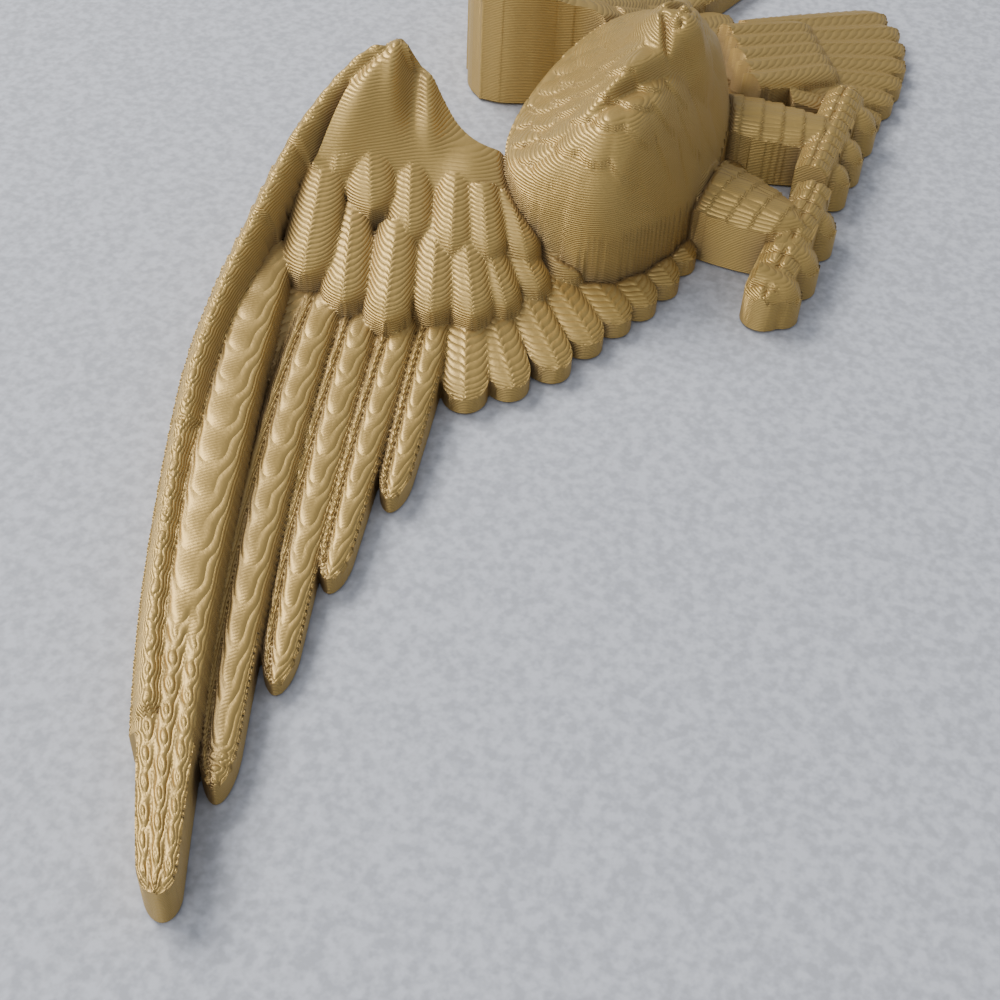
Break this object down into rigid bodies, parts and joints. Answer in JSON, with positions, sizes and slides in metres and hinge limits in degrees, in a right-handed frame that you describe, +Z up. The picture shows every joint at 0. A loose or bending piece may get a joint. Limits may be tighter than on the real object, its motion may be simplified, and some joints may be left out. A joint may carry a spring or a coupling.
{
  "type": "eagle wall plaque",
  "caption": "Flat-backed wall relief of an eagle with spread layered wings, bowed head, legs and feet below and the tail swung to one side, in satin gold.",
  "frame": {"origin": "on the flat back, behind the body between the two wings", "axes": "+X along the wings towards the side the tail swings to, +Y out of the flat back into the wall, +Z up towards the head"},
  "size_m": [0.251, 0.0302, 0.0665],
  "materials": {
    "gold_print": "satin metallic gold with fine printed layer lines"
  },
  "bodies": {
    "root": {"eagle": "gold_print"}
  },
  "joints": []
}
